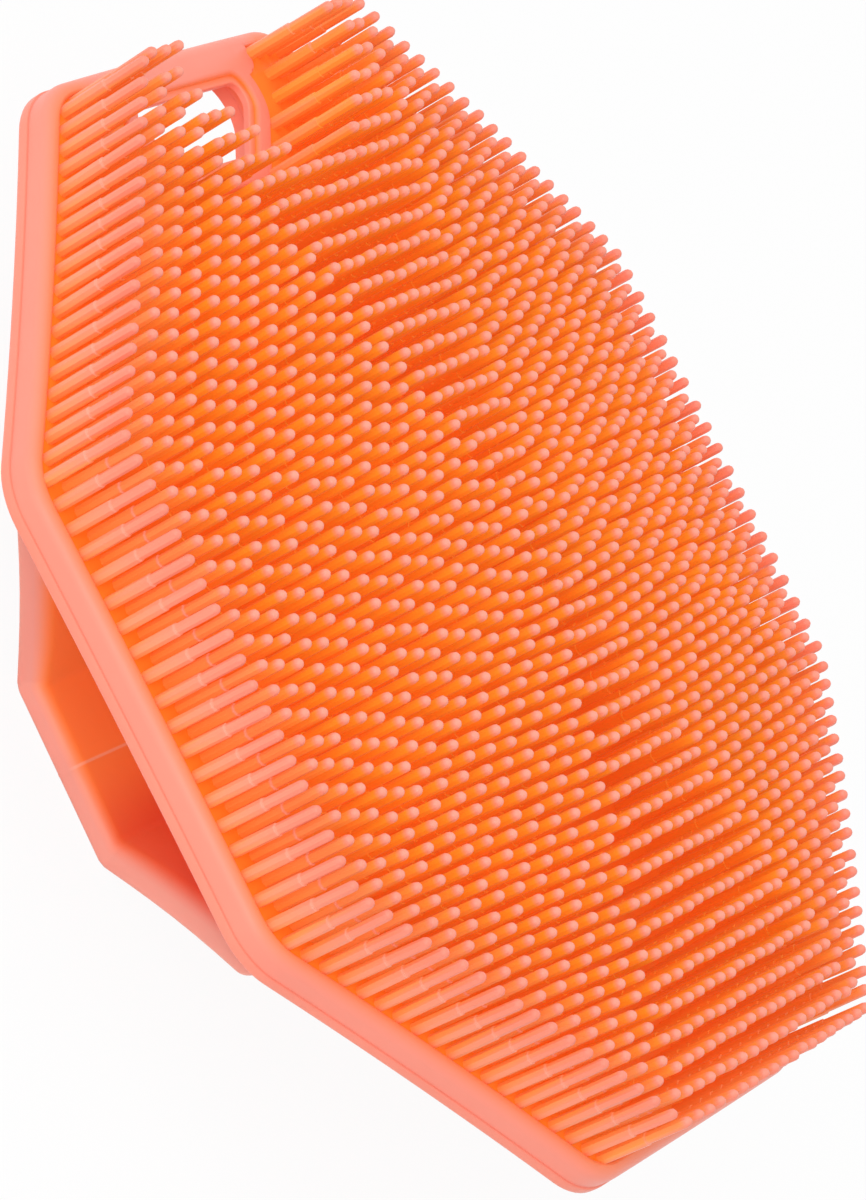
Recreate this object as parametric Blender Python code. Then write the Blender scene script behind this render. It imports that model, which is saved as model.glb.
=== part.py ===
"""Silicone body brush: a bowed octagonal pad with bristles on its front and a hand strap behind it.

Metres, +Z up. The strap's outer face lies on Z = 0 under the middle of the pad, the bristles point up and
the hang hole is at the -X end. The pad and its bristles are modelled flat, with their height measured from
the pad's front face, and are then laid on the bow.
"""

from math import atan2, ceil, cos, pi, radians, sin, sqrt, tan

import bmesh
import bpy
from mathutils import Vector

# Pad
PAD_WIDTH = 0.1302
PAD_CORNER_RADIUS = 0.0095
PAD_SIDES = 8
RIM_WIDTH = 0.0019
RIM_THICKNESS = 0.0029
RIM_ROUNDING = 0.0012
FLOOR_DEPTH = 0.0005
SKIN_THICKNESS = 0.0008
BACK_THICKNESS = 0.0013
BOW_LENGTHWISE = 0.0012
BOW_CROSSWISE = 0.0043

# Hang hole, which narrows from its long side at the pad's end
HOLE_EDGE_DISTANCE = 0.0055
HOLE_WIDTH = 0.0312
HOLE_INNER_WIDTH = 0.0132
HOLE_DEPTH = 0.0083
HOLE_CORNER_RADIUS = 0.0018
POCKET_MARGIN = 0.0025
LIP_WIDTH = 0.0035
LEDGE_WIDTH = 0.0009
LEDGE_DEPTH = 0.0005

# Strands, which stand for every second bristle of every second ring
STRAND_SPACING = 0.0056
STRAND_EDGE_DISTANCE = 0.0029
STRAND_DIAMETER = 0.0015
STRAND_TIP_DIAMETER = 0.0012
STRAND_LENGTH = 0.0115
STRAND_CROWN = 0.0019
STRAND_ROOT = 0.0004
STRAND_HOLE_MARGIN = 0.0009

# Hand strap
STRAP_DROP = 0.0228
STRAP_THICKNESS = 0.0030
STRAP_FLAT_LENGTH = 0.0206
STRAP_FLAT_WIDTH = 0.0946
STRAP_ROOT_LENGTH = 0.0552
STRAP_ROOT_WIDTH = 0.1200
STRAP_OFFSET = 0.0007
# Growth of half the strap's width for each length towards +X
STRAP_TAPER = 0.057
STRAP_LEG_ANGLE = radians(45)

# Clearances and modelling steps
JOINT_GAP = 0.0003
OVERRUN = 0.0020
LEVEL_TOLERANCE = 0.00001
BOW_ROW = 0.0110
CORNER_STEPS = 4
HOLE_STEPS = 3

# Derived heights, measured from the pad's front face
FLOOR_BOTTOM = -FLOOR_DEPTH - SKIN_THICKNESS
FRONT_TOP = FLOOR_BOTTOM - JOINT_GAP
FRONT_BOTTOM = -RIM_THICKNESS
BACK_TOP = FRONT_BOTTOM - JOINT_GAP
BACK_BOTTOM = BACK_TOP - BACK_THICKNESS
PAD_HEIGHT = STRAP_DROP - BACK_BOTTOM
HALF_TURN = pi / PAD_SIDES

SILICONE = {
    "front_pad": ((0.96, 0.24, 0.14), 0.42),
    "back_skin": ((0.92, 0.20, 0.11), 0.45),
    "hang_hole_lip": ((0.97, 0.30, 0.20), 0.40),
    "strap_grip": ((0.93, 0.22, 0.13), 0.45),
    "strap_leg": ((0.90, 0.19, 0.10), 0.45),
    "bristles": ((0.98, 0.20, 0.05), 0.38),
}


def clear_scene():
    """Removes whatever the file holds, so that the model starts empty."""
    for item in list(bpy.data.objects):
        bpy.data.objects.remove(item, do_unlink=True)


def silicone(name):
    """The silicone finish of one piece, which pieces of one kind share in colour."""
    kind = next(kind for kind in SILICONE if name.startswith(kind))
    colour, roughness = SILICONE[kind]
    material = bpy.data.materials.new(f"{name}_silicone")
    material.use_nodes = True
    shader = material.node_tree.nodes["Principled BSDF"]
    shader.inputs["Base Color"].default_value = (*colour, 1.0)
    shader.inputs["Roughness"].default_value = roughness
    shader.inputs["Metallic"].default_value = 0.0
    return material


def bow(point):
    """Lays a point of the flat pad on the bow, with its height along the bow's own normal."""
    half = PAD_WIDTH / 2
    sag = BOW_LENGTHWISE * (point.x / half) ** 2 + BOW_CROSSWISE * (point.y / half) ** 2
    slope_x = 2 * BOW_LENGTHWISE * point.x / half ** 2
    slope_y = 2 * BOW_CROSSWISE * point.y / half ** 2
    normal = Vector((slope_x, slope_y, 1.0)).normalized()
    return Vector((point.x, point.y, PAD_HEIGHT - sag)) + normal * point.z


def rolled_outline(centres, radius, steps):
    """A convex outline, anticlockwise, whose corners are arcs of one radius about the centres."""
    outline = []
    for index, centre in enumerate(centres):
        before = centre - centres[index - 1]
        after = centres[(index + 1) % len(centres)] - centre
        start = atan2(before.y, before.x) - pi / 2
        turn = (atan2(after.y, after.x) - atan2(before.y, before.x)) % (2 * pi)
        for step in range(steps + 1):
            angle = start + turn * step / steps
            outline.append(centre + Vector((cos(angle), sin(angle))) * radius)
    return outline


def pad_outline(inset=0.0):
    """The pad's octagon with its rounded corners, moved inwards by the inset."""
    apothem = PAD_WIDTH / 2 - PAD_CORNER_RADIUS
    reach = apothem / cos(HALF_TURN)
    turns = [HALF_TURN * (2 * side + 1) for side in range(PAD_SIDES)]
    centres = [Vector((cos(angle), sin(angle))) * reach for angle in turns]
    return rolled_outline(centres, PAD_CORNER_RADIUS - inset, CORNER_STEPS)


def arc_centres(corners, radius):
    """The middles of the arcs that round a convex outline's corners."""
    centres = []
    for index, corner in enumerate(corners):
        back = (corners[index - 1] - corner).normalized()
        onwards = (corners[(index + 1) % len(corners)] - corner).normalized()
        half_sine = sqrt((1 - back.dot(onwards)) / 2)
        centres.append(corner + (back + onwards).normalized() * radius / half_sine)
    return centres


def hole_outline(margin=0.0):
    """The hang hole's outline with its rounded corners, moved outwards by the margin."""
    end = -PAD_WIDTH / 2 + HOLE_EDGE_DISTANCE
    inner = end + HOLE_DEPTH
    corners = [Vector((inner, -HOLE_INNER_WIDTH / 2)), Vector((inner, HOLE_INNER_WIDTH / 2)),
               Vector((end, HOLE_WIDTH / 2)), Vector((end, -HOLE_WIDTH / 2))]
    centres = arc_centres(corners, HOLE_CORNER_RADIUS)
    return rolled_outline(centres, HOLE_CORNER_RADIUS + margin, HOLE_STEPS)


def clipped(outline, normal, distance):
    """The part of a convex outline that lies within a distance along a direction."""
    kept = []
    for index, point in enumerate(outline):
        last = outline[index - 1]
        inside = distance - point.dot(normal)
        last_inside = distance - last.dot(normal)
        if inside * last_inside < 0:
            kept.append(last + (point - last) * (last_inside / (last_inside - inside)))
        if inside >= 0:
            kept.append(point)
    return kept


def add_object(name, mesh):
    """Puts a finished bmesh into the scene under a name."""
    bmesh.ops.recalc_face_normals(mesh, faces=mesh.faces)
    data = bpy.data.meshes.new(name)
    mesh.to_mesh(data)
    mesh.free()
    item = bpy.data.objects.new(name, data)
    bpy.context.scene.collection.objects.link(item)
    return item


def prism(name, outline, low, high):
    """A flat solid of one outline between two heights."""
    mesh = bmesh.new()
    face = mesh.faces.new([mesh.verts.new((point.x, point.y, low)) for point in outline])
    grown = bmesh.ops.extrude_face_region(mesh, geom=[face])
    tops = [part for part in grown["geom"] if isinstance(part, bmesh.types.BMVert)]
    bmesh.ops.translate(mesh, verts=tops, vec=(0.0, 0.0, high - low))
    return add_object(name, mesh)


def combine(target, other, operation, solver="EXACT"):
    """Cuts one solid from another, or joins it to it, and removes the second one."""
    modifier = target.modifiers.new(operation.lower(), "BOOLEAN")
    modifier.operation = operation
    modifier.solver = solver
    modifier.object = other
    bpy.context.view_layer.update()
    evaluated = target.evaluated_get(bpy.context.evaluated_depsgraph_get())
    data = bpy.data.meshes.new_from_object(evaluated)
    target.modifiers.clear()
    target.data = data
    bpy.data.objects.remove(other, do_unlink=True)
    return target


def round_top(item, height, size):
    """Rounds the edge of a flat solid at one height in two steps."""
    mesh = bmesh.new()
    mesh.from_mesh(item.data)
    level = [vertex for vertex in mesh.verts if abs(vertex.co.z - height) < LEVEL_TOLERANCE]
    rim = [edge for edge in mesh.edges if all(vertex in level for vertex in edge.verts)]
    bmesh.ops.bevel(mesh, geom=rim, offset=size, segments=2, profile=0.5, affect="EDGES")
    mesh.to_mesh(item.data)
    mesh.free()
    return item


def add_rows(item):
    """Cuts a flat solid along rows square to X and to Y, so that it can follow the bow."""
    mesh = bmesh.new()
    mesh.from_mesh(item.data)
    rows = ceil(PAD_WIDTH / 2 / BOW_ROW)
    for direction in (Vector((1.0, 0.0, 0.0)), Vector((0.0, 1.0, 0.0))):
        for row in range(1 - rows, rows):
            everything = mesh.verts[:] + mesh.edges[:] + mesh.faces[:]
            place = direction * row * BOW_ROW
            bmesh.ops.bisect_plane(mesh, geom=everything, plane_co=place, plane_no=direction)
    mesh.to_mesh(item.data)
    mesh.free()
    return item


def lay_on_bow(item):
    """Splits a flat solid's faces into triangles and bends it to the bow."""
    mesh = bmesh.new()
    mesh.from_mesh(item.data)
    bmesh.ops.triangulate(mesh, faces=mesh.faces)
    for vertex in mesh.verts:
        vertex.co = bow(vertex.co)
    mesh.to_mesh(item.data)
    mesh.free()
    return item


def finish(item, name):
    """Gives a piece its node's name and its material."""
    item.name = name
    item.data.name = name
    item.data.materials.clear()
    item.data.materials.append(silicone(name))
    return item


def front_pad():
    """The thick front layer of the pad with its rounded rim, open round the hang hole."""
    pad = add_rows(round_top(prism("front", pad_outline(), FRONT_BOTTOM, 0.0), 0.0, RIM_ROUNDING))
    hollow = prism("hollow", pad_outline(RIM_WIDTH), FRONT_TOP, OVERRUN)
    combine(pad, hollow, "DIFFERENCE")
    opening = prism("opening", hole_outline(POCKET_MARGIN), FRONT_BOTTOM - OVERRUN, OVERRUN)
    combine(pad, opening, "DIFFERENCE")
    return finish(lay_on_bow(pad), "front_pad")


def back_skin():
    """The thin layer behind the parting groove, open round the hang hole."""
    skin = add_rows(prism("back", pad_outline(), BACK_BOTTOM, BACK_TOP))
    opening = prism("opening", hole_outline(POCKET_MARGIN), BACK_BOTTOM - OVERRUN, BACK_TOP + OVERRUN)
    combine(skin, opening, "DIFFERENCE")
    return finish(lay_on_bow(skin), "back_skin")


def lip_outline():
    """The outline of the hole's band, kept clear of the pad's rim."""
    reach = PAD_WIDTH / 2 - RIM_WIDTH - JOINT_GAP
    return clipped(hole_outline(LIP_WIDTH), Vector((-1.0, 0.0)), reach)


def hang_hole_lip():
    """The band round the hang hole, as high as the rim, with a lower ledge along the hole."""
    lip = add_rows(prism("lip", lip_outline(), FLOOR_BOTTOM, 0.0))
    ledge = prism("ledge", hole_outline(LEDGE_WIDTH), -LEDGE_DEPTH, OVERRUN)
    combine(lip, ledge, "DIFFERENCE")
    hole = prism("hole", hole_outline(), FLOOR_BOTTOM - OVERRUN, OVERRUN)
    combine(lip, hole, "DIFFERENCE")
    return finish(lay_on_bow(lip), "hang_hole_lip")


def strand_places(side):
    """The places of the strands of one side of the octagon, in rows parallel to its edge."""
    turn = side * 2 * HALF_TURN
    outward = Vector((cos(turn), sin(turn)))
    along = Vector((-sin(turn), cos(turn)))
    outermost = PAD_WIDTH / 2 - STRAND_EDGE_DISTANCE
    places = []
    for row in range(int(outermost / STRAND_SPACING)):
        apothem = outermost - row * STRAND_SPACING
        length = 2 * apothem * tan(HALF_TURN)
        count = max(1, round(length / STRAND_SPACING))
        for index in range(count):
            offset = length * ((index + 0.5) / count - 0.5)
            places.append((outward * apothem + along * offset, apothem / outermost))
    return places, outward, along


def clear_of_hole(place, outline):
    """Whether a strand stands outside the area that the hang hole and its lip take up."""
    for index, point in enumerate(outline):
        edge = point - outline[index - 1]
        outside = Vector((edge.y, -edge.x)).normalized()
        if (place - point).dot(outside) > 0:
            return True
    return False


def add_strand(mesh, place, reach_share, outward, along):
    """One four-sided strand, thick at its root and thin at its tip."""
    crown = STRAND_CROWN * (1 - reach_share ** 2) ** 2
    length = STRAND_LENGTH + crown
    square_share = sqrt(pi) / 4
    rings = []
    foot = -FLOOR_DEPTH - STRAND_ROOT
    for height, width in ((foot, STRAND_DIAMETER), (length, STRAND_TIP_DIAMETER)):
        half = width * square_share
        ring = []
        for across, sideways in ((1, -1), (1, 1), (-1, 1), (-1, -1)):
            corner = place + outward * half * across + along * half * sideways
            ring.append(mesh.verts.new((corner.x, corner.y, height)))
        rings.append(ring)
    root, tip = rings
    mesh.faces.new(root[::-1])
    mesh.faces.new(tip)
    for index in range(len(root)):
        mesh.faces.new((root[index - 1], root[index], tip[index], tip[index - 1]))


def bristle_field(side):
    """The strands of one side of the octagon, fused to their wedge of the pad's front skin."""
    name = f"bristles_{side + 1}"
    places, outward, along = strand_places(side)
    wedge = pad_outline(RIM_WIDTH + JOINT_GAP)
    for turn in (-HALF_TURN, HALF_TURN):
        border = Vector((outward.x * cos(turn) - outward.y * sin(turn),
                         outward.x * sin(turn) + outward.y * cos(turn)))
        away = Vector((-border.y, border.x)) * (1 if turn > 0 else -1)
        wedge = clipped(wedge, away, -JOINT_GAP / 2)
    field = add_rows(prism("wedge", wedge, FLOOR_BOTTOM, -FLOOR_DEPTH))
    lip_seat = hole_outline(LIP_WIDTH + JOINT_GAP)
    if any(point.dot(outward) > 0 for point in lip_seat):
        seat = prism("seat", lip_seat, FLOOR_BOTTOM - OVERRUN, OVERRUN)
        combine(field, seat, "DIFFERENCE")
    keep_out = hole_outline(LIP_WIDTH + JOINT_GAP + STRAND_HOLE_MARGIN)
    strands = bmesh.new()
    for place, reach_share in places:
        if clear_of_hole(place, keep_out):
            add_strand(strands, place, reach_share, outward, along)
    combine(field, add_object("strands", strands), "UNION")
    return finish(lay_on_bow(field), name)


def mitre_shift():
    """How far each of two mitred strap pieces stands back along its own length from their joint."""
    return JOINT_GAP / 2 / cos(STRAP_LEG_ANGLE / 2)


def strap_half_width(x):
    """Half the strap's width at a place along X from its middle: tapered, and flared towards its roots."""
    bend = STRAP_FLAT_LENGTH / 2
    root = STRAP_ROOT_LENGTH / 2
    flare = (STRAP_ROOT_WIDTH - STRAP_FLAT_WIDTH) / 2 / (root - bend)
    return STRAP_FLAT_WIDTH / 2 + STRAP_TAPER * x + flare * max(abs(x) - bend, 0.0)


def strap_solid(name, profile):
    """A solid with a profile in X and Z from the strap's middle, as wide in Y as the strap is there."""
    mesh = bmesh.new()
    near = [mesh.verts.new((x + STRAP_OFFSET, -strap_half_width(x), z)) for x, z in profile]
    far = [mesh.verts.new((x + STRAP_OFFSET, strap_half_width(x), z)) for x, z in profile]
    mesh.faces.new(near)
    mesh.faces.new(far[::-1])
    for index in range(len(profile)):
        mesh.faces.new((near[index - 1], near[index], far[index], far[index - 1]))
    bmesh.ops.triangulate(mesh, faces=mesh.faces)
    return add_object(name, mesh)


def strap_grip():
    """The flat middle of the hand strap, which the brush rests on."""
    outer = STRAP_FLAT_LENGTH / 2 - mitre_shift()
    inner = outer - STRAP_THICKNESS * tan(STRAP_LEG_ANGLE / 2)
    profile = [(-outer, 0.0), (outer, 0.0), (inner, STRAP_THICKNESS), (-inner, STRAP_THICKNESS)]
    return finish(strap_solid("grip", profile), "strap_grip")


def underside_cutter():
    """A bowed slab that ends one joint gap below the pad, to trim the strap's roots to it."""
    reach = PAD_WIDTH / 2 + OVERRUN
    outline = [Vector((reach * x, reach * y)) for x, y in ((-1, -1), (1, -1), (1, 1), (-1, 1))]
    return lay_on_bow(add_rows(prism("underside", outline, BACK_BOTTOM - JOINT_GAP, OVERRUN)))


def strap_leg(name, end):
    """One sloping leg of the strap with its upright root, which flares towards the pad."""
    bend = STRAP_FLAT_LENGTH / 2
    root = STRAP_ROOT_LENGTH / 2
    rise = (root - bend) * tan(STRAP_LEG_ANGLE)
    inset = STRAP_THICKNESS * tan(STRAP_LEG_ANGLE / 2)
    knee_inset = STRAP_THICKNESS * tan((pi / 2 - STRAP_LEG_ANGLE) / 2)
    start = bend + mitre_shift() * cos(STRAP_LEG_ANGLE)
    lift = mitre_shift() * sin(STRAP_LEG_ANGLE)
    outside = [(start, lift), (root, rise), (root, STRAP_DROP)]
    inner_root = root - STRAP_THICKNESS
    inside = [(inner_root, STRAP_DROP), (inner_root, rise + knee_inset),
              (start - inset, STRAP_THICKNESS + lift)]
    profile = [(x * end, z) for x, z in outside + inside]
    leg = strap_solid("leg", profile)
    combine(leg, underside_cutter(), "DIFFERENCE", "MANIFOLD")
    return finish(leg, name)


def main():
    """Builds the brush."""
    clear_scene()
    front_pad()
    back_skin()
    hang_hole_lip()
    for side in range(PAD_SIDES):
        bristle_field(side)
    strap_grip()
    strap_leg("strap_leg_1", -1)
    strap_leg("strap_leg_2", 1)


main()
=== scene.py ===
"""Looks of a one-colour silicone body brush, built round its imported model.

The brush is one moulding: a bowed octagonal pad, a dense field of stepped bristles in eight sectors, a
wide hang hole with a band and a ledge round it, and a hand strap behind the pad. Metres, +Z up, the
strap's outer face on Z = 0, the hang hole at the -X end.
"""

import logging
import random
from collections.abc import Callable, Iterator
from contextlib import contextmanager
from dataclasses import dataclass, replace
from enum import Enum
from math import ceil, cos, floor, hypot, pi, radians, sin, sqrt, tan

import bmesh
import bpy
import numpy as np
from mathutils import Euler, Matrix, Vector


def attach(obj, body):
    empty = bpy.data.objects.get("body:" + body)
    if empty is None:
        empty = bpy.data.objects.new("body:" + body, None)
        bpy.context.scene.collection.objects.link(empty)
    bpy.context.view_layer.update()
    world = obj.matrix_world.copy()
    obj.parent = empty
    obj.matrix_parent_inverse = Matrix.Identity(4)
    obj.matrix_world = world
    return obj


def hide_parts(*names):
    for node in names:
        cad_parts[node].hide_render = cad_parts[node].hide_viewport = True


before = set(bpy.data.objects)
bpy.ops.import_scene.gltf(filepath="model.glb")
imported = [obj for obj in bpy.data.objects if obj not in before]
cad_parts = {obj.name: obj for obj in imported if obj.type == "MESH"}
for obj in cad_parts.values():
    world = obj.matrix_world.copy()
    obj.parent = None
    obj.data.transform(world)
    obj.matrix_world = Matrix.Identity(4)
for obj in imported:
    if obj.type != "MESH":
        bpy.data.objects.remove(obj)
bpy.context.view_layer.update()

LOG = logging.getLogger("body_brush")
MM = 0.001

Colour = tuple[float, float, float]
Edge = bmesh.types.BMEdge
Face = bmesh.types.BMFace
Object = bpy.types.Object
Socket = bpy.types.NodeSocket
Feed = Socket | Colour | float
Groups = dict[str, bpy.types.NodeTree]

BLACK: Colour = (0.0, 0.0, 0.0)
WHITE: Colour = (1.0, 1.0, 1.0)
ALONG = Vector((1.0, 0.0, 0.0))
ACROSS = Vector((0.0, 1.0, 0.0))
UPWARDS = Vector((0.0, 0.0, 1.0))

# The octagon
SIDES = 8
SIDE_TURN = 2 * pi / SIDES

# How closely two places are compared, in metres
SAME = 1e-6
NEAR = 1e-5
TINY = 1e-9

# Which faces are level and which are steep, by the Z of their normals, and which lie in one plane
LEVEL = 0.9
STEEP = 0.5
ONE_PLANE = radians(0.5)


class Pick(Enum):
    """The kinds of mesh element that a selection in edit mode is made of."""

    EDGE = "EDGE"
    FACE = "FACE"


@dataclass(frozen=True)
class Rounding:
    """How an edge is rounded: its reach along the faces beside it, and its number of faces."""

    reach: float
    faces: int


def select_only(*items: Object) -> None:
    """Selects these objects alone, the first of them active.

    Args:
        items: The objects to select.
    """
    for other in bpy.context.selected_objects:
        other.select_set(False)
    for item in items:
        item.select_set(True)
    bpy.context.view_layer.objects.active = items[0]


@contextmanager
def editing(item: Object) -> Iterator[None]:
    """Holds one object in edit mode, with nothing selected at the start.

    Args:
        item: The object to edit.

    Yields:
        Nothing; the edit-mode operators act on the object meanwhile.
    """
    select_only(item)
    bpy.ops.object.mode_set(mode="EDIT")
    bpy.ops.mesh.select_all(action="DESELECT")
    yield
    bpy.ops.object.mode_set(mode="OBJECT")


def pick(item: Object, kind: Pick, test: Callable[[Edge | Face], bool]) -> None:
    """Selects the elements of an object in edit mode that pass a test.

    Args:
        item: The object in edit mode.
        kind: What to select.
        test: Takes an edge or a face and says whether it is selected.
    """
    bpy.ops.mesh.select_mode(type=kind.value)
    bpy.ops.mesh.select_all(action="DESELECT")
    mesh = bmesh.from_edit_mesh(item.data)
    for element in mesh.edges if kind is Pick.EDGE else mesh.faces:
        if test(element):
            element.select_set(True)
    mesh.select_flush_mode()
    bmesh.update_edit_mesh(item.data)


def at_height(edge: Edge, height: float) -> bool:
    """Whether both ends of an edge lie at a height."""
    return all(abs(vertex.co.z - height) < SAME for vertex in edge.verts)


def over_drop(edge: Edge) -> bool:
    """Whether an edge lies between two faces of which one or both are steep."""
    return len(edge.link_faces) == 2 and min(abs(face.normal.z) for face in edge.link_faces) < STEEP


def round_edges(item: Object, rounding: Rounding, test: Callable[[Edge], bool]) -> None:
    """Rounds the edges of an object that pass a test.

    Args:
        item: The object.
        rounding: How they are rounded.
        test: Takes an edge and says whether it is rounded.
    """
    with editing(item):
        pick(item, Pick.EDGE, test)
        bpy.ops.mesh.bevel(offset_type="OFFSET", offset=rounding.reach, segments=rounding.faces,
                           affect="EDGES")


def cut_rows(item: Object, normal: Vector, places: list[float]) -> None:
    """Cuts an object in edit mode along planes square to a direction.

    Args:
        item: The object in edit mode; not used.
        normal: The planes' common normal, along one axis.
        places: The planes' distances from the origin along the normal.
    """
    for place in places:
        bpy.ops.mesh.select_all(action="SELECT")
        bpy.ops.mesh.bisect(plane_co=normal * place, plane_no=normal)


def cut_with(target: Object, cutter: Object) -> None:
    """Cuts one closed object out of another and removes it.

    Args:
        target: The object that is cut.
        cutter: The object that cuts.
    """
    select_only(target)
    modifier = target.modifiers.new("cut", "BOOLEAN")
    modifier.operation = "DIFFERENCE"
    modifier.solver = "EXACT"
    modifier.object = cutter
    bpy.ops.object.modifier_apply(modifier=modifier.name)
    bpy.data.objects.remove(cutter, do_unlink=True)


def hull_of_posts(name: str, centres: list[Vector], radius: float, low: float, high: float,
                  sides: int) -> Object:
    """A flat prism with rounded corners, as the hull of upright round posts.

    Args:
        name: The object's name.
        centres: The middle of each rounded corner, in X and Y.
        radius: The corners' radius.
        low: The height of the prism's lower face.
        high: The height of its upper face.
        sides: How many sides each post has.

    Returns:
        The prism, with flat faces in one piece each.
    """
    posts = []
    for centre in centres:
        place = (centre.x, centre.y, (low + high) / 2)
        bpy.ops.mesh.primitive_cylinder_add(vertices=sides, radius=radius, depth=high - low, location=place)
        posts.append(bpy.context.object)
    select_only(*posts)
    bpy.ops.object.join()
    item = bpy.context.object
    bpy.ops.object.transform_apply(location=True, rotation=True, scale=True)
    with editing(item):
        bpy.ops.mesh.select_all(action="SELECT")
        bpy.ops.mesh.convex_hull()
        bpy.ops.mesh.select_all(action="SELECT")
        bpy.ops.mesh.dissolve_limited(angle_limit=ONE_PLANE)
    item.name = item.data.name = name
    return item


def outside_of(centres: list[Vector], x: float, y: float) -> float:
    """How far a place lies outside a convex polygon.

    Args:
        centres: The polygon's corners, anticlockwise.
        x: The place along X.
        y: The place along Y.

    Returns:
        The distance, and 0 inside the polygon.
    """
    place = Vector((x, y))
    inside = True
    nearest = min((place - centre).length for centre in centres)
    for index, centre in enumerate(centres):
        before = centres[index - 1]
        edge = centre - before
        if (place - centre).dot(Vector((edge.y, -edge.x))) > 0:
            inside = False
            share = min(max((place - before).dot(edge) / edge.length_squared, 0.0), 1.0)
            nearest = min(nearest, (place - before - edge * share).length)
    return 0.0 if inside else nearest


def points_of(item: Object) -> np.ndarray:
    """Reads where an object's vertices are.

    Args:
        item: The object.

    Returns:
        One row for each vertex.
    """
    flat = np.empty(len(item.data.vertices) * 3)
    item.data.vertices.foreach_get("co", flat)
    return flat.reshape(-1, 3)


def move_points(item: Object, points: np.ndarray) -> None:
    """Gives an object's vertices new places, one row each."""
    item.data.vertices.foreach_set("co", points.astype(np.float32).ravel())
    item.data.update()


def paint(item: Object, name: str, values: np.ndarray) -> None:
    """Gives an object one number for each vertex, under a name that its finish reads."""
    attribute = item.data.attributes.new(name, "FLOAT", "POINT")
    attribute.data.foreach_set("value", values.astype(np.float32))


def smooth(item: Object, angle: float) -> None:
    """Shades an object smooth except across edges sharper than an angle."""
    select_only(item)
    bpy.ops.object.shade_smooth_by_angle(angle=angle)


def stand_for(item: Object, slot: str, *nodes: str) -> None:
    """Puts a finished piece in the place of CAD nodes and reports it.

    Args:
        item: The piece.
        slot: The record's material slot; not used.
        nodes: The CAD nodes that it stands for.
    """
    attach(item, "root")
    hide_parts(*nodes)
    LOG.info("%s: %d faces, stands for %s", item.name, len(item.data.polygons), ", ".join(nodes))


# Materials

CLOUD_SCALE = 55.0
PATCH_SCALE = 210.0
GRAIN_SCALE = 2600.0
NOISE_DETAIL = 2.0
PATCH_ROUGHNESS = 0.22


class Graph:
    """A short way to write a node tree: each call adds a node or a few and feeds their inputs."""

    def __init__(self, tree: bpy.types.NodeTree) -> None:
        """Starts on a tree, with or without nodes in it."""
        self.tree = tree

    def feed(self, made: bpy.types.Node, inputs: dict[str | int, Feed]) -> None:
        """Sets or links a node's inputs.

        Args:
            made: The node.
            inputs: Values or sockets for its inputs, by name or number.
        """
        for key, value in inputs.items():
            if isinstance(value, Socket):
                self.tree.links.new(value, made.inputs[key])
            elif isinstance(value, tuple) and made.inputs[key].type == "RGBA":
                made.inputs[key].default_value = (*value, 1.0)
            else:
                made.inputs[key].default_value = value

    def node(self, kind: str, inputs: dict[str | int, Feed] | None = None,
             **settings: str | bpy.types.NodeTree) -> bpy.types.Node:
        """Adds a node.

        Args:
            kind: The node's type, without the ShaderNode in front.
            inputs: Values or sockets for its inputs, by name or number.
            settings: The node's own properties.

        Returns:
            The node.
        """
        made = self.tree.nodes.new(f"ShaderNode{kind}")
        for name, value in settings.items():
            setattr(made, name, value)
        self.feed(made, inputs or {})
        return made

    def sums(self, operation: str, *values: Feed) -> Socket:
        """The result of a Math node on numbers or sockets."""
        return self.node("Math", dict(enumerate(values)), operation=operation).outputs[0]

    def around(self, middle: Feed, noise: Feed, amount: Feed) -> Socket:
        """A value that a noise from 0 to 1 shifts by up to half an amount either way."""
        return self.sums("MULTIPLY_ADD", self.sums("SUBTRACT", noise, 0.5), amount, middle)

    def between(self, value: Feed, low: float, high: float) -> Socket:
        """A value's smooth share of the way from a low to a high one."""
        inputs = {"Value": value, "From Min": low, "From Max": high}
        return self.node("MapRange", inputs, interpolation_type="SMOOTHSTEP").outputs["Result"]

    def blend(self, share: Feed, first: Feed, second: Feed) -> Socket:
        """Mixes two colours.

        Args:
            share: How much of the second colour there is, from 0 to 1.
            first: The first colour.
            second: The second colour.

        Returns:
            The mixed colour.
        """
        made = self.node("Mix", data_type="RGBA")
        numbers = {socket.identifier: number for number, socket in enumerate(made.inputs)}
        for key, value in (("Factor_Float", share), ("A_Color", first), ("B_Color", second)):
            self.feed(made, {numbers[key]: value})
        return next(socket for socket in made.outputs if socket.identifier == "Result_Color")

    def painted(self, name: str) -> Socket:
        """The number that a piece's vertices are painted with, under its name."""
        return self.node("Attribute", attribute_name=name).outputs["Fac"]

    def shows(self) -> Socket:
        """Tells the rays that show what they meet from those that only light it.

        Returns:
            1 for a camera, glossy or transmission ray, and 0 for others.
        """
        rays = self.node("LightPath").outputs
        seen = self.sums("MAXIMUM", rays["Is Camera Ray"], rays["Is Glossy Ray"])
        return self.sums("MAXIMUM", seen, rays["Is Transmission Ray"])


def new_group(name: str, inputs: dict[str, str], outputs: dict[str, str]) -> tuple[Graph, dict[str, Socket]]:
    """Starts a shader node group.

    Args:
        name: The group's name.
        inputs: Each input's name and socket type.
        outputs: Each output's name and socket type.

    Returns:
        The graph to add nodes with, and its input sockets by name.
    """
    tree = bpy.data.node_groups.new(name, "ShaderNodeTree")
    for way, sockets in (("INPUT", inputs), ("OUTPUT", outputs)):
        for label, kind in sockets.items():
            tree.interface.new_socket(name=label, in_out=way, socket_type=f"NodeSocket{kind}")
    return Graph(tree), dict(tree.nodes.new("NodeGroupInput").outputs.items())


def end_group(graph: Graph, results: dict[str, Socket]) -> bpy.types.NodeTree:
    """Links a group's results to its outputs and gives the group back."""
    graph.feed(graph.tree.nodes.new("NodeGroupOutput"), results)
    return graph.tree


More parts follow.
